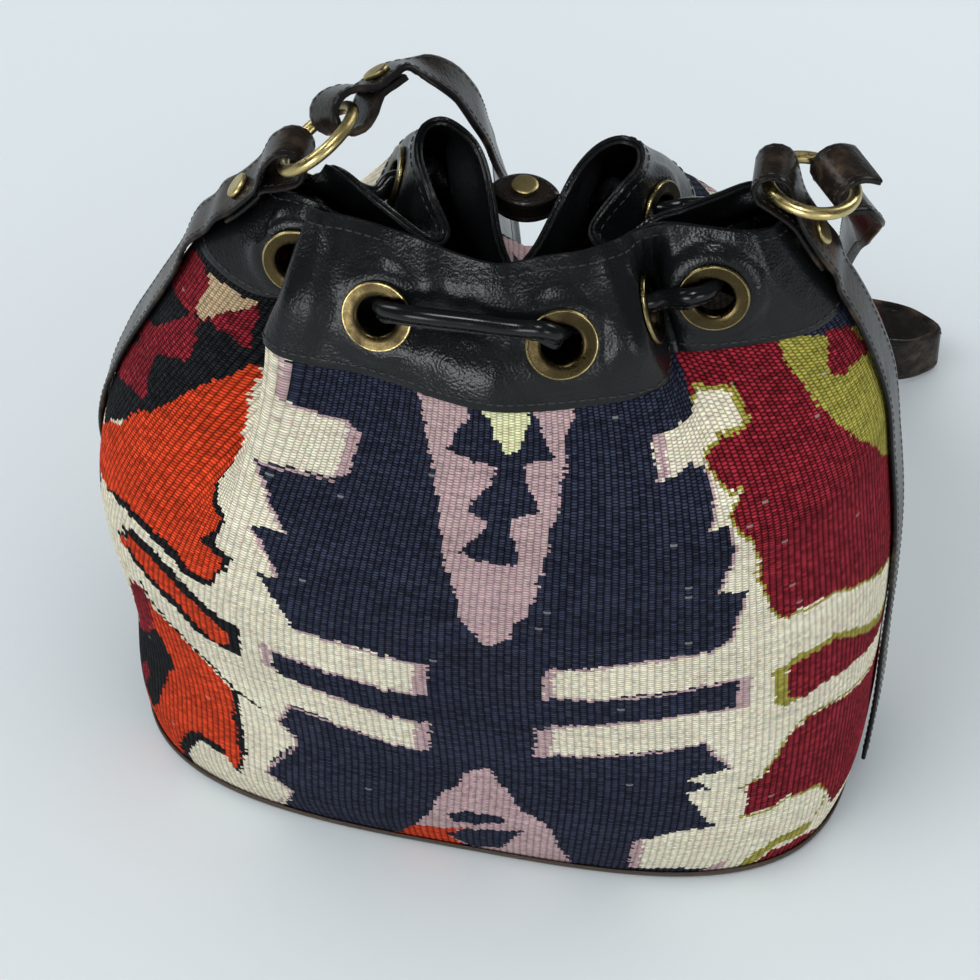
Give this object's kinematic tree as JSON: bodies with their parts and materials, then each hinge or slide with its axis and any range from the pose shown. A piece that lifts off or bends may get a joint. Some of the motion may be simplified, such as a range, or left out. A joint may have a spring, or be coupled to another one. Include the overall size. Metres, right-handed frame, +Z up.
{
  "type": "kilim drawstring shoulder bag",
  "caption": "Flat-woven wool shoulder bag with a gathered leather collar, brass eyelets, a leather drawstring, and a strap on ring ends.",
  "frame": {"origin": "on the floor plane under the middle of the bag's base", "axes": "+Z up, the front of the bag towards -Y, the bag's left side as seen from the front towards -X"},
  "size_m": [0.2969, 0.3076, 0.3071],
  "materials": {
    "wool": "flat-woven wool in navy, cream, mauve, brick, crimson and olive",
    "black_leather": "fine-grained black leather with a soft sheen",
    "lining_leather": "matt black leather",
    "brown_leather": "dark brown leather, worn",
    "strap_leather": "dark brown leather with black edges",
    "cord_leather": "rolled black leather",
    "slider_leather": "brown-black leather",
    "brass": "antique brass, rubbed bright on the high spots"
  },
  "bodies": {
    "bag": {"kilim_front": "wool", "kilim_back": "wool", "base_panel": "brown_leather", "collar": "black_leather", "collar_lining": "lining_leather", "eyelet_01": "brass", "eyelet_02": "brass", "eyelet_03": "brass", "eyelet_04": "brass", "eyelet_05": "brass", "eyelet_06": "brass", "eyelet_07": "brass", "eyelet_08": "brass", "eyelet_09": "brass", "eyelet_10": "brass", "eyelet_11": "brass", "eyelet_12": "brass", "drawstring": "cord_leather", "cord_slider": "slider_leather", "slider_rivet": "brass", "side_strap_left": "strap_leather", "side_strap_right": "strap_leather", "side_strap_rivet_left": "brass", "side_strap_rivet_right": "brass", "shoulder_strap": "strap_leather", "shoulder_strap_rivet": "brass"},
    "left_ring": {"ring_left": "brass"},
    "right_ring": {"ring_right": "brass"}
  },
  "joints": [
    {"name": "ring_left_spin", "type": "hinge", "parent": "bag", "child": "left_ring", "pos_m": [-0.0742, -0.0151, 0.29], "axis": [-0.6816, 0.1704, 0.7116], "continuous": true},
    {"name": "ring_right_spin", "type": "hinge", "parent": "bag", "child": "right_ring", "pos_m": [0.0925, -0.007, 0.2875], "axis": [0.1304, 0.1304, 0.9829], "continuous": true}
  ]
}
